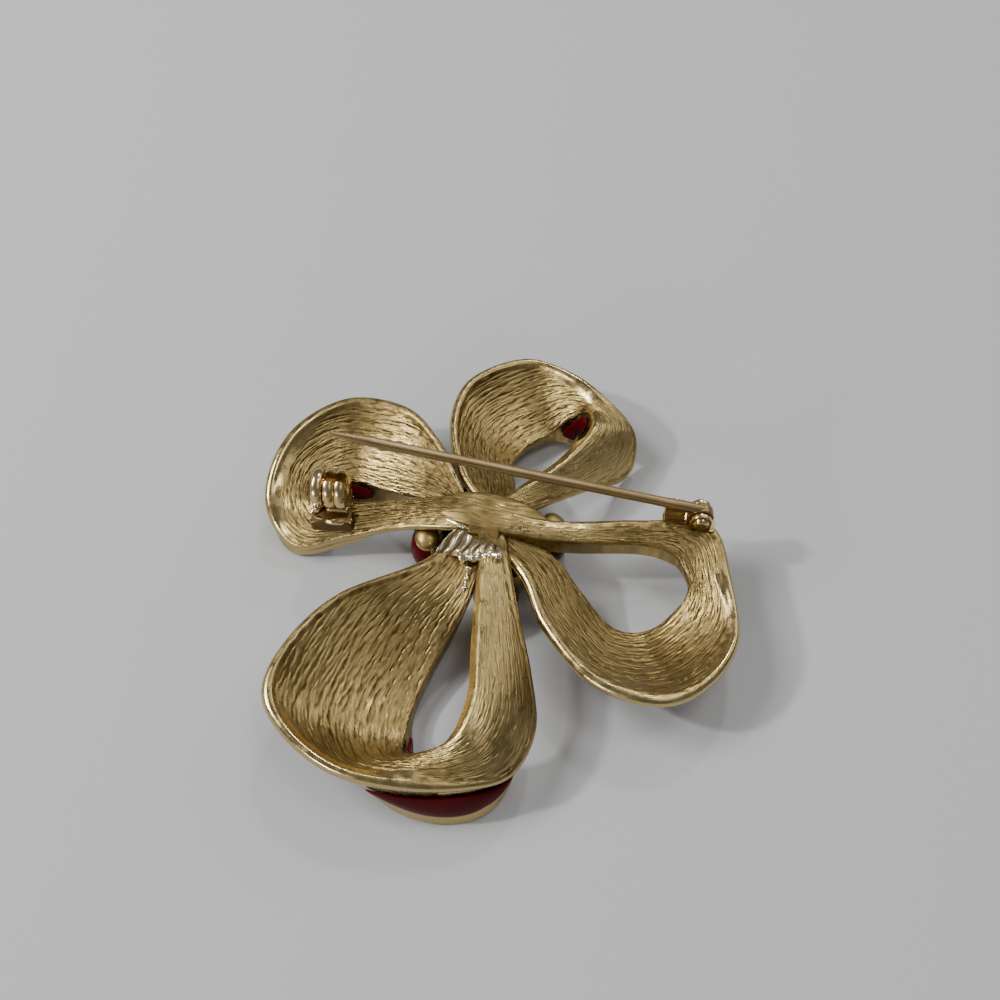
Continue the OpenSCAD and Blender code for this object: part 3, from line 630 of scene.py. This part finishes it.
t = np.linspace(0, 1, 90)
roll = np.column_stack([-2.9 + 4.1 * t, -5.25 - 0.25 * t ** 2 + 0.1 * np.sin(11 * t),
                        HUB_Z + 0.2 + 1.15 * t + 0.05 * np.sin(17 * t)])
parts = [gathers(), tube(roll, 0.38 + 0.07 * np.sin(23 * t) + 0.03 * np.sin(41 * t + 1), 18, polish=1.0)]
t = np.linspace(0, 1, 50)
edge = np.column_stack([-4.5 + 2.4 * t, -0.35 - 1.45 * t, HUB_Z - 0.1 + 0.35 * t])
drips = np.column_stack([-2.0 - 0.5 * t, -5.6 - 2.7 * t, HUB_Z - 0.45 - 0.8 * t])
for path, radius in ((edge, 0.12 + 0.12 * np.sin(3 * t) ** 2),
                     (drips, 0.14 + 0.26 * np.sin(9 * t + 0.4) ** 2 + 0.06 * np.sin(21 * t) ** 2)):
    parts.append(tube(path, radius, 16, polish=1.0))
add_mesh("gathers", parts)
# The two shelves are painted nearly all in the dark colour: painted shade under the pad's edge.
upper = rounded([(-2.3, -2.3), (-0.8, -2.6), (0.3, -3.2), (1.0, -2.9), (1.2, -0.8), (-2.3, -0.6)], 0.3)
lower = rounded([(-3.3, -3.1), (0.8, -4.5), (1.1, -2.0), (-3.0, -1.2)], 0.5)
add_mesh("knot_pad", [pad(), moved(plate(upper, 0.9, 0.35, groove=0.85), at=(0, 0, HUB_Z - 0.03)),
                      moved(plate(lower, 0.9, 0.3, groove=0.95), at=(0, 0, HUB_Z - 0.3))])

# %% [markdown]
# ## The rosette behind the knot
# Under the pad a short core with four spokes carries the ring of the front rosette:
# a black stone and four small petals, whose domed gold backs, gold rims and red
# sides show between the loops. Little of it is seen from here, so turned shapes are
# enough. The four petals could be instances, but joined they stay one piece.

# %% Core, ring and stone
# In mm: the stone's radius and height, the ring's thickness and top, the core's radius
STONE_R, STONE_H, RING_T, RING_TOP, CORE_R = 5, 2.6, 0.6, 3.8, 2.6
core = [turned(rect(0.01, SPOKE_Z, CORE_R, HUB_Z), polish=0.6)]
inside = STONE_R + GAP
ring = rounded(rect(inside, RING_Z, inside + RING_T, RING_TOP), 0.15)
core.append(turned(ring, steps=96, polish=0.9))
t = np.linspace(0, 1, 12)
for k in range(4):
    a = math.radians(55 + 90 * k)
    path = np.column_stack([5.3 * t * math.cos(a), 5.3 * t * math.sin(a), 3.4 + 0 * t])
    core.append(tube(path, 0.39, 16, polish=0.7))
add_mesh("rosette_frame", core)

# The stone is a cap of a sphere, whose radius follows from the cap's own two sizes
dome = (STONE_R ** 2 + STONE_H ** 2) / (2 * STONE_H)
a = np.linspace(0, math.asin(STONE_R / dome), 30)
profile = np.column_stack([np.maximum(dome * np.sin(a), AXIS), dome - STONE_H - dome * np.cos(a)])
profile = np.concatenate([profile, [[STONE_R - 0.06, 0.0], [STONE_R - 0.5, 0.0], [AXIS, 0.0]]])
profile[:, 1] += SPOKE_Z - GAP
add_mesh("stone", [turned(profile, steps=96)])

# %% Small petals
def petal(profile, start, sweep, **values):
    """One profile carried part of a turn, widened by 1.3 and set out on the ring at
    each of four places."""
    out = []
    for k in range(4):
        a = math.radians(6 + 90 * k)
        part = turned(profile, start, sweep, 48, **values)
        part["points"] = part["points"] * [1, 1.3, 1] + [STONE_R + RING_T + 0.95, 0, 0.6]
        c, s = math.cos(a), math.sin(a)
        out.append(moved(part, [[c, s, 0], [-s, c, 0], [0, 0, 1]]))
    return out


wall = rounded(rect(0.75, RING_Z + 0.1, 1.1, RING_Z + 3.3), 0.1)
rim = arc(0.2, 0, 360, 17, (1.12, RING_Z + 3.1))[:-1]
b = np.radians(np.arange(0, 91, 15))
cap = np.column_stack([AXIS + 1.25 * np.cos(b), RING_Z + 3.2 + 0.85 * np.sin(b)])
cap = np.concatenate([[(AXIS, RING_Z + 2.9), (1.1, RING_Z + 2.9)], cap])
# The caps are painted a little darker, as shade under the loops.
add_mesh("small_petals", petal(wall, -125, 250, polish=0.6) + petal(rim, -125, 250, polish=0.7)
         + petal(cap, 0, 360, groove=0.3))
side = rounded([(1.16, RING_Z - 0.5), (1.6, RING_Z - 0.5), (1.85, RING_Z + 1.2),
                (1.6, RING_Z + 2.7), (1.16, RING_Z + 3.2)], 0.4)
add_mesh("petal_glaze", petal(side, -100, 200))

# %% [markdown]
# ## Pin and hinge
# The pin is a drawn wire with a short taper to its point. It comes off the top of a
# flat eye that turns on a headed rivet, between one ear on one side and a pair of
# ears on the other. The hinge's base is soldered on the lower right loop's ribbon.
# A plain cylinder would do for the wire, but its thicker root and rounded taper
# catch the light, so its radius is worked out along its length.

# %% Pin
# The pin's direction on the table, and how far it stands open
TURN, OPEN = math.radians(180 - 3.5), math.radians(14)
PIVOT = np.array([21.3, 0, 8.2])
# In mm: the eye's radius and width, the wire's radius and length, its taper and point
EYE_R, EYE_W, PIN_R, PIN_L, TAPER, POINT_R = 1.3, 1.0, 0.5, 37.9, 4, 0.16
RISE = EYE_R - PIN_R
X = np.array([math.cos(TURN), math.sin(TURN), 0])
Y = np.array([-math.sin(TURN), math.cos(TURN), 0])
Z = np.array([0, 0, 1.0])
WX, WZ = math.cos(OPEN) * X + math.sin(OPEN) * Z, -math.sin(OPEN) * X + math.cos(OPEN) * Z

s = np.concatenate([np.linspace(0, PIN_L - TAPER, 60), PIN_L - TAPER + TAPER * np.linspace(0.05, 1, 24)])
shank = PIN_R + 0.06 * (1 - smooth(s, 3.6, 4.2))
point = POINT_R + (PIN_R - POINT_R) * np.abs(1 - (s - PIN_L + TAPER) / TAPER) ** 0.7
wire = tube(PIVOT + s[:, None] * WX + RISE * WZ, np.where(s < PIN_L - TAPER, shank, point), 28)
eye = turned(rounded(rect(0.5, -EYE_W / 2, EYE_R, EYE_W / 2), 0.14), steps=48)
add_mesh("pin_wire", [wire, moved(eye, [WX, WZ, -Y], PIVOT)])

# %% Hinge
# Plates are drawn with x along the pin and y up, and their thickness lies along the hinge's axis
SIDE_AXES = [X, Z, -Y]
# In mm: an ear's thickness, radius and foot, the step to the paired ear, and the
# distances from the middle of the hinge to an ear's inner and outer face
EAR_T, EAR_R, EAR_FOOT, PAIR = 0.5, 1.1, -1.75, 2.4
half = EYE_W / 2 + 0.1
end = half + EAR_T
ear = np.concatenate([arc(EAR_R, 0, 180, 25), [(-EAR_R, EAR_FOOT), (EAR_R, EAR_FOOT)]])
aside = Y * (half + EAR_T / 2)
parts = [moved(plate(ear, EAR_T, 0.12, polish=0.9), SIDE_AXES, PIVOT + at)
         for at in (aside, -aside, X * PAIR - aside)]
base = rounded(rect(-1.7, -end, 3.6, end), 0.4)
parts.append(moved(plate(base, 0.8, 0.15, polish=0.8), [X, Y, Z], PIVOT + Z * (-EYE_R - 0.9 + 0.4)))
add_mesh("hinge_ears", parts)
head = [(AXIS, 0), (0.72, 0), (0.8, 0.06), (0.78, 0.2), (0.62, 0.36), (0.35, 0.42), (AXIS, 0.45)]
parts = [moved(turned(rect(AXIS, -end - 0.05, 0.45, end + 0.05), steps=32), SIDE_AXES, PIVOT)]
for sign in (-1, 1):
    parts.append(moved(turned(head, steps=40, polish=1.0), [X * sign, Z, -Y * sign],
                       PIVOT - Y * sign * (end + 0.02)))
add_mesh("hinge_pin", parts)

# %% [markdown]
# ## Catch
# A roll-over catch: a slotted case on a foot, and in it a slotted barrel that turns
# over the pin by its thumb flange. From the side the three discs look like coins
# set edge to edge. A base painted wholly in the dark colour, as shade under the
# case, and two runs of bright solder join it to the ribbon.
# The case could be cut out of a cylinder, but one outline that swells and shrinks
# along the axis gives the lobes and the slot with nothing to cut.

# %% Catch body
# In mm: radius and width of the case, radius of the barrel, width of its flange, the
# slot, and the space that lets the barrel turn
CATCH = PIVOT + 37 * X + RISE * Z
CASE_R, CASE_W, BARREL_R, FLANGE_W, SLOT, RUN = 2.1, 2.3, 1.4, 1.1, 1.12, 0.06
# In these outlines x points down to the ribbon and y across the pin; thickness lies along it
DISC_AXES = [-Z, Y, X]


def slotted(outer, inner, slot):
    """A disc's outline with a bore and a slot that opens at -x, counter-clockwise."""
    a = math.degrees(math.asin(slot / 2 / outer))
    b = math.degrees(math.asin(min(slot / 2 / inner, 0.999)))
    return np.concatenate([arc(outer, -180 + a, 180 - a, 60), arc(inner, 180 - b, -180 + b, 44)])


def lobes(width, count, drop, inner, slot, steps=40):
    """A slotted case of rounded lobes side by side: at x its outer radius is
    CASE_R - drop * (1 - |sin(pi * count * x / width)|^0.5)."""
    x = np.linspace(0, 1, steps + 1)
    r = CASE_R - drop * (1 - np.abs(np.sin(math.pi * count * x)) ** 0.5)
    outlines = np.array([slotted(radius, inner, slot) for radius in r])
    places = np.broadcast_to(((x - 0.5) * width)[:, None, None], (*outlines.shape[:2], 1))
    return grid(np.concatenate([outlines, places], -1), polish=0.8)


foot = rounded(rect(BARREL_R + 0.3, -1.5, 3.3, 1.5), 0.3)
# The base under the case is painted all in the dark colour: painted shade.
base = rounded([(-18.6, -0.1), (-14.2, -0.3), (-14.0, 2.6), (-18.4, 2.9)], 0.5)
t = np.linspace(0, 1, 60)
solder = np.column_stack([-18.5 + 4.3 * t, 0.25 - 0.25 * t + 0.15 * np.sin(9 * t),
                          6.25 + 0.05 * np.sin(14 * t)])
bead = np.column_stack([-18.3 + 0.9 * t, 0.9 + 1.2 * t, 6.5 + 0.2 * np.sin(3 * t)])
add_mesh("catch_body", [moved(lobes(CASE_W, 2, 0.32, BARREL_R + RUN, SLOT), DISC_AXES, CATCH),
                        moved(plate(foot, CASE_W, 0.3, polish=0.5), DISC_AXES, CATCH),
                        tube(solder, 0.32 + 0.08 * np.sin(9 * t + 1), 20, polish=1.0),
                        moved(plate(base, 1.9, 0.4, groove=1.0), at=(0, 0, 5.55)),
                        tube(bead, 0.34 + 0.06 * np.sin(5 * t), 20, polish=1.0)])

# %% Catch roller
barrel = slotted(BARREL_R, SLOT / 2, SLOT)
t = np.linspace(0, math.pi, 30)
flange = np.column_stack([CASE_R - 0.55 * (1 - np.sin(t) ** 0.5), 0.5 * FLANGE_W * (1 - np.cos(t))])
flange = np.concatenate([[[AXIS, 0]], flange, [[AXIS, FLANGE_W]]])
thumb = [[x, CASE_R + y, 0.5] for x, y in ((0.1, -0.6), (0.25, -0.2), (0.35, 0.2), (0.4, 0.55))]
side = CATCH + X * (CASE_W / 2)
end = CATCH + X * (CASE_W / 2 + RUN)
add_mesh("catch_roller", [moved(plate(barrel, CASE_W, 0.05, polish=0.9), DISC_AXES, CATCH),
                          moved(turned(rect(AXIS, -0.04, BARREL_R, 0.2), polish=0.9), DISC_AXES, side),
                          moved(turned(flange, steps=96, polish=0.85), DISC_AXES, end),
                          moved(tube(thumb, [0.40, 0.50, 0.46, 0.22], 24, polish=1.0), DISC_AXES, end)])

# %% [markdown]
# ## Finishes
# Two effects are shared by several materials, so they are node groups. "Plating
# wear and painted shade" paints grooves, folds and hollows darker and duller as
# shade and lightens polished edges from the values kept on the mesh, with cloudy
# tarnish over both. "Hand polish" gives the small waves and fine scratches that
# break up a reflection. Shade and wear can be painted by hand, but a mask from the
# mesh's own values follows every groove. The shaders stay in each material.

# %% Node helpers
COLOR, FLOAT = "NodeSocketColor", "NodeSocketFloat"


def new_group(name, colors, floats, outputs):
    group = bpy.data.node_groups.new(name, "ShaderNodeTree")
    for way, kind, names in (("INPUT", COLOR, colors), ("INPUT", FLOAT, floats), *outputs):
        for socket in names:
            group.interface.new_socket(socket, in_out=way, socket_type=kind)
    return group


class Nodes:
    """Short ways to add nodes to one tree and to join their sockets."""
    MIX = {"RGBA": (6, 7, 2), "FLOAT": (2, 3, 0)}

    def __init__(self, tree):
        self.tree = tree

    def add(self, kind, **settings):
        node = self.tree.nodes.new(kind)
        for key, value in settings.items():
            setattr(node, key, value)
        return node

    def put(self, value, socket):
        """A constant goes on the socket, and another node's output is linked to it."""
        if isinstance(value, (int, float, tuple)):
            socket.default_value = value
        else:
            self.tree.links.new(value, socket)

    def math(self, op, *values, clamp=False):
        node = self.add("ShaderNodeMath", operation=op, use_clamp=clamp)
        for value, socket in zip(values, node.inputs):
            self.put(value, socket)
        return node.outputs[0]

    def mix(self, kind, factor, a, b):
        node = self.add("ShaderNodeMix", data_type=kind)
        first, second, result = self.MIX[kind]
        for socket, value in ((0, factor), (first, a), (second, b)):
            self.put(value, node.inputs[socket])
        return node.outputs[result]

    def value(self, name):
        """A value that is kept on the mesh."""
        return self.add("ShaderNodeAttribute", attribute_name=name).outputs["Fac"]

    def noise(self, scale, detail):
        """Noise over the object's own coordinates."""
        node = self.add("ShaderNodeTexNoise")
        self.put(self.add("ShaderNodeTexCoord").outputs["Object"], node.inputs["Vector"])
        node.inputs["Scale"].default_value, node.inputs["Detail"].default_value = scale, detail
        return node.outputs["Fac"]


print("math and mix nodes join sockets through", Nodes.__name__)

# %% Node groups
wear_and_shade = new_group("plating_wear_and_painted_shade", ("Plate", "Shade and stain", "Bright"), ("Tarnish", "Satin", "Gloss", "Speck"),
                 [("OUTPUT", COLOR, ["Color"]), ("OUTPUT", FLOAT, ["Roughness"])])
n = Nodes(wear_and_shade)
gin, gout = n.add("NodeGroupInput").outputs, n.add("NodeGroupOutput").inputs
# The mesh's stored value says how much shade to paint: in grooves, folds and hollows and under other parts
groove, polish = n.value("groove"), n.value("polish")
cloud, speck = n.noise(160, 6), n.noise(1100, 3)
patchy = n.math("ADD", n.math("MULTIPLY", cloud, 1.1), 0.45)
# deep is that painted shade, made patchy by the clouds
deep = n.math("MULTIPLY", n.math("POWER", groove, 0.6), patchy, clamp=True)
stain = n.math("SUBTRACT", cloud, 0.42, clamp=True)
stain = n.math("MULTIPLY", stain, n.math("MULTIPLY", gin["Tarnish"], 4.0), clamp=True)
stain = n.math("MULTIPLY", stain, n.math("SUBTRACT", 1.0, n.math("MULTIPLY", polish, 0.7)))
base = n.mix("RGBA", stain, n.mix("RGBA", polish, gin["Plate"], gin["Bright"]), gin["Shade and stain"])
# Where deep is high the dark colour is painted in as shade; further down it also roughens the surface
n.put(n.mix("RGBA", deep, base, gin["Shade and stain"]), gout["Color"])
rough = n.mix("FLOAT", polish, gin["Satin"], gin["Gloss"])
rough = n.math("ADD", rough, n.math("MULTIPLY", n.math("SUBTRACT", speck, 0.5), gin["Speck"]))
n.put(n.math("ADD", rough, n.math("MULTIPLY", deep, 0.22), clamp=True), gout["Roughness"])

hand = new_group("hand_polish", (), ("Waves", "Scratches"), [("OUTPUT", FLOAT, ["Height"])])
n = Nodes(hand)
gin, gout = n.add("NodeGroupInput").outputs, n.add("NodeGroupOutput").inputs
waves = n.math("MULTIPLY", n.noise(420, 2), gin["Waves"])
scratches = n.math("MULTIPLY", n.noise(2600, 4), gin["Scratches"])
n.put(n.math("ADD", waves, scratches), gout["Height"])
print("node groups:", wear_and_shade.name, hand.name)

# %% Materials
def new_material(name):
    mat = bpy.data.materials.new(name)
    mat.use_nodes = True
    return mat, Nodes(mat.node_tree), mat.node_tree.nodes["Principled BSDF"].inputs


def relief(n, shader, waves, scratches, depth):
    """Turns a shader's normal by the polish group's height, over a depth in mm."""
    group = n.add("ShaderNodeGroup", node_tree=hand)
    group.inputs["Waves"].default_value, group.inputs["Scratches"].default_value = waves, scratches
    bump = n.add("ShaderNodeBump")
    bump.inputs["Strength"].default_value, bump.inputs["Distance"].default_value = 1.0, depth / 1000
    n.put(group.outputs["Height"], bump.inputs["Height"])
    n.put(bump.outputs["Normal"], shader["Normal"])


def metal(name, plate, groove, bright, tarnish, satin, gloss, speck, scratches, depth, waves=0.5):
    """A plated metal: colour and roughness from the wear and painted shade group, relief from the polish
    group.
    """
    mat, n, shader = new_material(name)
    shader["Metallic"].default_value = 1.0
    group = n.add("ShaderNodeGroup", node_tree=wear_and_shade)
    for key, value in (("Plate", plate), ("Shade and stain", groove), ("Bright", bright)):
        group.inputs[key].default_value = (*value, 1)
    for key, value in (("Tarnish", tarnish), ("Satin", satin), ("Gloss", gloss), ("Speck", speck)):
        group.inputs[key].default_value = value
    n.put(group.outputs["Color"], shader["Base Color"])
    n.put(group.outputs["Roughness"], shader["Roughness"])
    relief(n, shader, waves, scratches, depth)
    return mat


def glassy(name, deep, light, rough, coat, shine):
    """Enamel or stone: cloudy colour under a clear coat, with faint speckle in its gloss."""
    mat, n, shader = new_material(name)
    cloud = n.noise(300, 4)
    n.put(n.mix("RGBA", cloud, (*deep, 1), (*light, 1)), shader["Base Color"])
    n.put(n.math("ADD", n.math("MULTIPLY", cloud, 0.08), rough), shader["Roughness"])
    shader["Coat Weight"].default_value, shader["Coat Roughness"].default_value = coat, 0.05
    shader["Specular IOR Level"].default_value = shine
    relief(n, shader, 0.7, 0.05, 0.03)
    return mat


# Each metal's second colour is its painted shade colour for grooves, folds and hollows, and also the colour
# of its tarnish.
cast_gold = metal("cast_gold", (0.52, 0.385, 0.150), (0.085, 0.048, 0.013), (0.56, 0.43, 0.20), tarnish=0.30,
                  satin=0.34, gloss=0.20, speck=0.55, scratches=0.25, depth=0.04)
knot_gold = metal("knot_gold", (0.50, 0.39, 0.21), (0.20, 0.12, 0.05), (0.88, 0.78, 0.56), tarnish=0.08,
                  satin=0.40, gloss=0.19, speck=0.10, scratches=0.10, depth=0.04)
finding_gold = metal("finding_gold", (0.54, 0.40, 0.18), (0.12, 0.07, 0.025), (0.66, 0.50, 0.25),
                     tarnish=0.25, satin=0.34, gloss=0.20, speck=0.12, scratches=0.12, depth=0.03)
wire_gold = metal("wire_gold", (0.38, 0.27, 0.13), (0.12, 0.075, 0.03), (0.50, 0.38, 0.20), tarnish=0.35,
                  satin=0.36, gloss=0.24, speck=0.15, scratches=0.5, depth=0.02)
red_enamel = glassy("red_enamel", (0.038, 0.001, 0.002), (0.09, 0.002, 0.004),
                    rough=0.2, coat=0.03, shine=0.06)
black_stone = glassy("black_stone", (0.004, 0.004, 0.005), (0.012, 0.012, 0.014),
                     rough=0.06, coat=1.0, shine=0.5)
print("four metals, one enamel and one stone")

# %% [markdown]
# ## Putting the pieces in place of the solids
# Each piece says which plain solid it stands for and hides it, takes its own
# material and rides on the body that moves it: the pin and the catch's roller move,
# the rest is the brooch.

# %% Materials, bodies and replaced solids
CAST, RED = ("gold_tone", "brooch", "bow_casting"), (red_enamel, "red_enamel", "brooch")
PLAN = {"knot_pad": (cast_gold, *CAST), "gathers": (knot_gold, *CAST),
        "rosette_frame": (cast_gold, *CAST), "small_petals": (cast_gold, *CAST),
        "hinge_ears": (finding_gold, *CAST), "catch_body": (finding_gold, *CAST),
        "petal_glaze": (*RED, "petal_enamel"),
        "stone": (black_stone, "black_stone", "brooch", "rosette_stone"),
        "hinge_pin": (finding_gold, "catch_metal", "brooch", "hinge_rivet"),
        "pin_wire": (wire_gold, "pin_wire", "pin", "pin"),
        "catch_roller": (finding_gold, "catch_metal", "catch_barrel", "catch_barrel"),
        "tip_skin": (*RED, "tip_enamel")}
for name in LOOPS:
    PLAN["ribbon_" + name] = (cast_gold, *CAST)
    PLAN["enamel_face_" + name] = (*RED, "enamel_" + name)
for name in ("upper_left", "upper_right", "lower_left"):
    PLAN["hole_skin_" + name] = (*RED, "hole_enamel_" + name)
for name, (mat, slot, body, node) in PLAN.items():
    obj = made[name]
    obj.data.materials.append(mat)
    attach(obj, body)
    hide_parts(node)
print(len(PLAN), "pieces placed")

# %% [markdown]
# ## Floor and light
# Polished metal shows what is round it, so the light matters as much as the finish.
# A pale floor and a soft grey surround fill the dark side. A large soft window on
# the left gives the ribbons their sheen, and a weaker lamp overhead evens it out.
# Two small lamps give the rims their sparks, a low strip lights the near rims, and
# two faint broad lamps, in front and on the right, lift the backs that face away. A
# picture of a studio could light it in one go, but separate lamps can be moved one
# by one until the sheen lies about where the photograph has it.

# %% Floor and surround
# Half the floor's width in metres, and its squares a side
HALF, SQUARES = 1.5, 12
floor = bpy.data.objects.new("floor", bpy.data.meshes.new("floor"))
k = np.linspace(-HALF, HALF, SQUARES + 1)
gx, gy = np.meshgrid(k, k, indexing="ij")
i, j = np.meshgrid(np.arange(SQUARES), np.arange(SQUARES), indexing="ij")
a = i * (SQUARES + 1) + j
squares = np.stack([a, a + SQUARES + 1, a + SQUARES + 2, a + 1], -1).reshape(-1, 4)
floor.data.from_pydata(np.stack([gx, gy, 0 * gx], -1).reshape(-1, 3).tolist(), [], squares.tolist())
bpy.context.collection.objects.link(floor)
pale, _, shader = new_material("floor_pale")
shader["Base Color"].default_value, shader["Roughness"].default_value = (0.47, 0.47, 0.47, 1), 0.9
floor.data.materials.append(pale)

world = bpy.data.worlds.new("surround")
bpy.context.scene.world = world
world.use_nodes = True
surround = world.node_tree.nodes["Background"].inputs
surround["Color"].default_value, surround["Strength"].default_value = (0.36, 0.36, 0.36, 1), 0.5
print("floor of", 2 * HALF, "m with", len(squares), "squares")

# %% Lamps
WHITE = (1, 1, 1)
# Place in metres, width and height, watts and colour; all look at the origin
LAMPS = {"window": ((-0.46, 0.14, 0.52), (0.24, 0.2), 2.8, (0.97, 0.985, 1.0)),
         "ceiling": ((0.25, 0.1, 0.8), (0.25, 0.25), 1.15, WHITE),
         "spark": ((-0.52, -0.02, 0.40), (0.04, 0.04), 2.4, WHITE),
         "back_spark": ((0.10, 0.44, 0.5), (0.06, 0.06), 0.8, WHITE),
         "low_glint": ((-0.36, -0.40, 0.15), (0.16, 0.05), 0.9, WHITE),
         "front": ((0.22, -0.24, 0.60), (0.3, 0.3), 0.26, WHITE),
         "far_right": ((0.36, 0.28, 0.32), (0.3, 0.25), 0.46, WHITE)}
for name, (at, size, power, color) in LAMPS.items():
    light = bpy.data.lights.new(name, "AREA")
    light.shape, light.size, light.size_y = "RECTANGLE", *size
    light.energy, light.color = power, color
    lamp = bpy.data.objects.new(name, light)
    bpy.context.collection.objects.link(lamp)
    lamp.location = at
    lamp.rotation_euler = (-Vector(at)).to_track_quat("-Z", "Y").to_euler()
print(len(LAMPS), "lamps of", round(sum(lamp[2] for lamp in LAMPS.values()), 2), "W in all")
